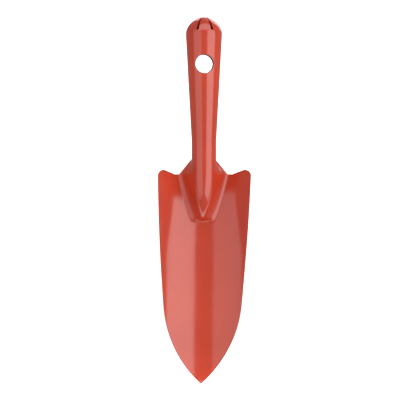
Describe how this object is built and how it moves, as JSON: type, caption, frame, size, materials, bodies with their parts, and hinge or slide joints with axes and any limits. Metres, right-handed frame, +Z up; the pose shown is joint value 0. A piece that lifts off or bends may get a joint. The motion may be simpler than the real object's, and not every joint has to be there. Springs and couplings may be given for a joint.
{
  "type": "hand trowel",
  "caption": "Pressed steel hand trowel with a dished pointed blade, a ridged neck and a rolled tube handle with a hanging hole and a folded end.",
  "frame": {"origin": "centre of the hanging hole, on the axis of the handle tube", "axes": "+Z up the handle to its closed end, -Y the way the hollow of the blade faces, +X to the right seen from the front"},
  "size_m": [0.0736, 0.0568, 0.2906],
  "materials": {
    "enamel": "satin red-orange enamel over pressed steel"
  },
  "bodies": {
    "root": {"blade": "enamel", "ridge": "enamel", "neck": "enamel", "handle_tube": "enamel", "end_petal_1": "enamel", "end_petal_2": "enamel", "end_petal_3": "enamel", "end_petal_4": "enamel", "end_petal_5": "enamel", "end_petal_6": "enamel", "end_petal_7": "enamel"}
  },
  "joints": []
}
